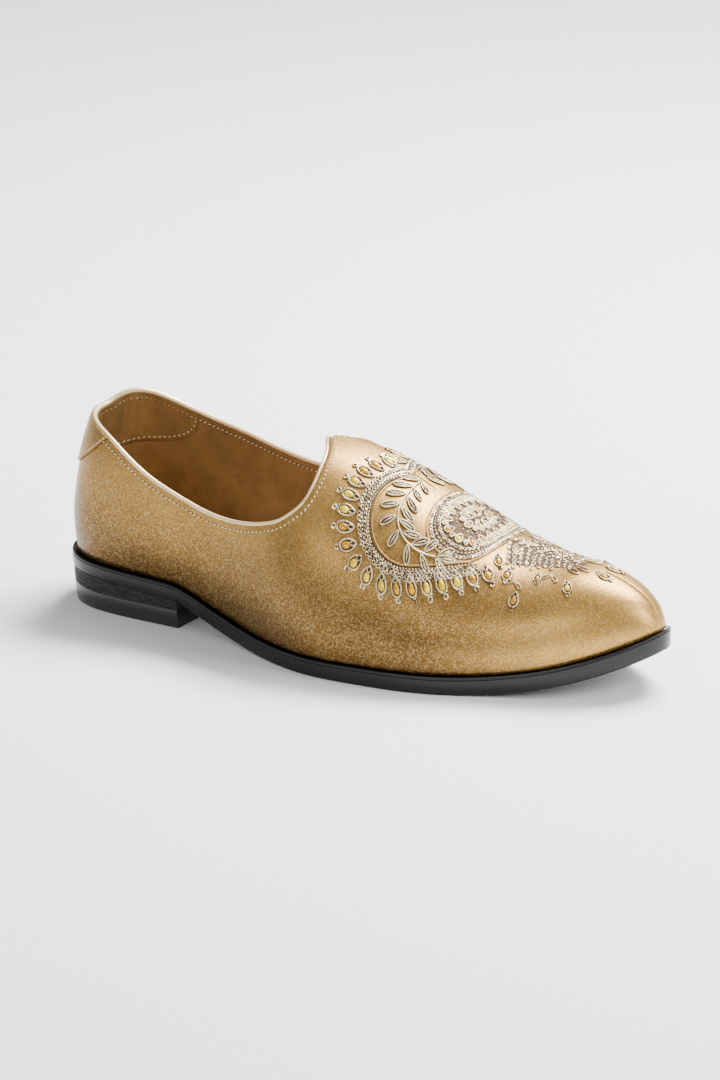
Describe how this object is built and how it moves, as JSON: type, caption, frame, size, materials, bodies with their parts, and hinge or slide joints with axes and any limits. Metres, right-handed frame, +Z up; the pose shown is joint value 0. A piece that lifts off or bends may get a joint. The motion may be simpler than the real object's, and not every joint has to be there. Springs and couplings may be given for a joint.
{
  "type": "mojari shoe",
  "caption": "Right-foot slip-on mojari shoe with a hollow gold leather upper, peaked throat, embroidered vamp, insole, black sole and low stacked heel.",
  "frame": {"origin": "on the floor, in the middle of the shoe's box", "axes": "+X from the heel to the toe, +Y to the inner (medial) side of the foot, +Z up"},
  "size_m": [0.3, 0.1042, 0.0935],
  "materials": {
    "gold_leather": "metallic gold coated leather with a fine pebbled grain, satin sheen",
    "lining": "smooth tan-gold lining leather, soft sheen",
    "insole": "smooth peach-tan sock leather, matt",
    "edge_binding": "pale cream-gold folded edge, satin",
    "stitching": "cream-gold sewing thread",
    "sole": "black gloss-dressed edge, smooth",
    "heel_stack": "black, rough, with fine level layers",
    "top_lift": "black, smooth, semi-gloss",
    "silver_thread": "silver and pale gold metal wire embroidery, shiny",
    "beads": "small silver-cream beads, glossy",
    "stones": "amber and yellow faceted stones, glossy"
  },
  "bodies": {
    "root": {"outsole": "sole", "heel_stack": "heel_stack", "heel_top_lift": "top_lift", "upper": "gold_leather", "heel_tab": "gold_leather", "insole": "insole"}
  },
  "joints": []
}
